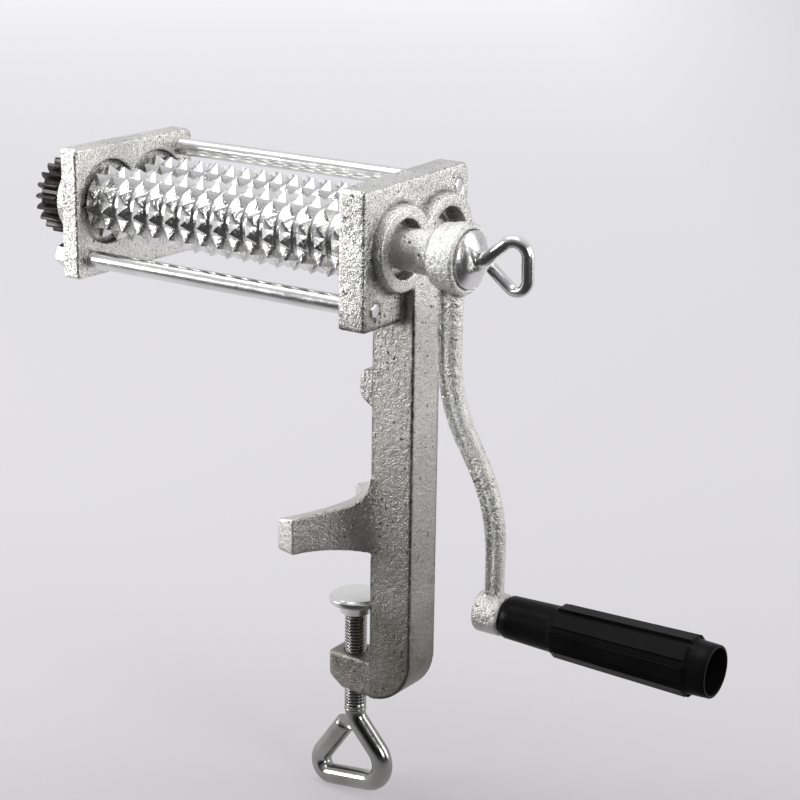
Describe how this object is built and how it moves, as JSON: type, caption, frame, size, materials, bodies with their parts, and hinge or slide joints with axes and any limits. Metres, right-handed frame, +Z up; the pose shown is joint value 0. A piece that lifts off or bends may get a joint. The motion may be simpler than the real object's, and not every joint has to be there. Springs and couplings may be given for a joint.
{
  "type": "meat tenderizer",
  "caption": "Hand-cranked meat tenderizer: two spiked rollers between cast end plates, a gear drive, an S-shaped crank with a black grip and a clamp for a table's edge.",
  "frame": {"origin": "where the clamp screw's axis meets the plane of the table top, under the two feet", "axes": "+X along the rollers towards the crank, -Y towards the cook, +Z up"},
  "size_m": [0.3421, 0.079, 0.2915],
  "materials": {
    "cast_tinned": "tinned, grainy and pitted",
    "roller_metal": "bright cast",
    "plated_steel": "polished plating",
    "shaft_steel": "turned",
    "gear_steel": "blackened",
    "bush_bronze": "turned",
    "grip_plastic": "satin black"
  },
  "bodies": {
    "frame": {"main_frame": "cast_tinned", "left_plate": "cast_tinned", "right_bushes": "bush_bronze", "left_bushes": "bush_bronze", "front_tie_rod": "plated_steel", "rear_tie_rod": "plated_steel", "tie_rod_nuts": "plated_steel"},
    "crank_line": {"front_drum": "roller_metal", "front_shaft": "shaft_steel", "front_gear": "gear_steel", "front_gear_washer": "plated_steel", "front_gear_screw": "plated_steel", "crank": "cast_tinned", "handle_bolt": "plated_steel", "handle_washer": "plated_steel"},
    "rear_roller": {"rear_drum": "roller_metal", "rear_shaft": "shaft_steel", "rear_gear": "gear_steel", "rear_gear_washer": "plated_steel", "rear_gear_screw": "plated_steel"},
    "grip": {"grip": "grip_plastic"},
    "crank_washer": {"crank_washer": "plated_steel"},
    "thumb_screw": {"thumb_screw": "plated_steel"},
    "clamp_pad": {"clamp_pad": "plated_steel"},
    "clamp_screw": {"clamp_screw": "plated_steel"}
  },
  "joints": [
    {"name": "crank_spin", "type": "hinge", "parent": "frame", "child": "crank_line", "pos_m": [0, -0.016, 0.1384], "axis": [1, 0, 0], "continuous": true},
    {"name": "rear_roller_spin", "type": "hinge", "parent": "frame", "child": "rear_roller", "pos_m": [0, 0.016, 0.1384], "axis": [1, 0, 0], "continuous": true},
    {"name": "grip_spin", "type": "hinge", "parent": "crank_line", "child": "grip", "pos_m": [0.13, -0.016, -0.0092], "axis": [1, 0, 0], "continuous": true},
    {"name": "crank_washer_slide", "type": "slide", "parent": "crank_line", "child": "crank_washer", "axis": [1, 0, 0], "range_m": [0, 0.006]},
    {"name": "thumb_screw_turn", "type": "hinge", "parent": "crank_washer", "child": "thumb_screw", "pos_m": [0.07, -0.016, 0.1384], "axis": [1, 0, 0], "range_deg": [0, 2160]},
    {"name": "clamp_pad_slide", "type": "slide", "parent": "frame", "child": "clamp_pad", "axis": [0, 0, 1], "range_m": [-0.017, 0.012]},
    {"name": "clamp_screw_turn", "type": "hinge", "parent": "clamp_pad", "child": "clamp_screw", "pos_m": [0, 0, -0.06], "axis": [0, 0, 1], "range_deg": [-4080, 2880]}
  ],
  "couplings": [
    {"joint": "rear_roller_spin", "follows": "crank_spin", "ratio": -1},
    {"joint": "crank_washer_slide", "follows": "thumb_screw_turn", "m_per_rad": 0.00015915},
    {"joint": "clamp_pad_slide", "follows": "clamp_screw_turn", "m_per_rad": 0.00023873}
  ]
}
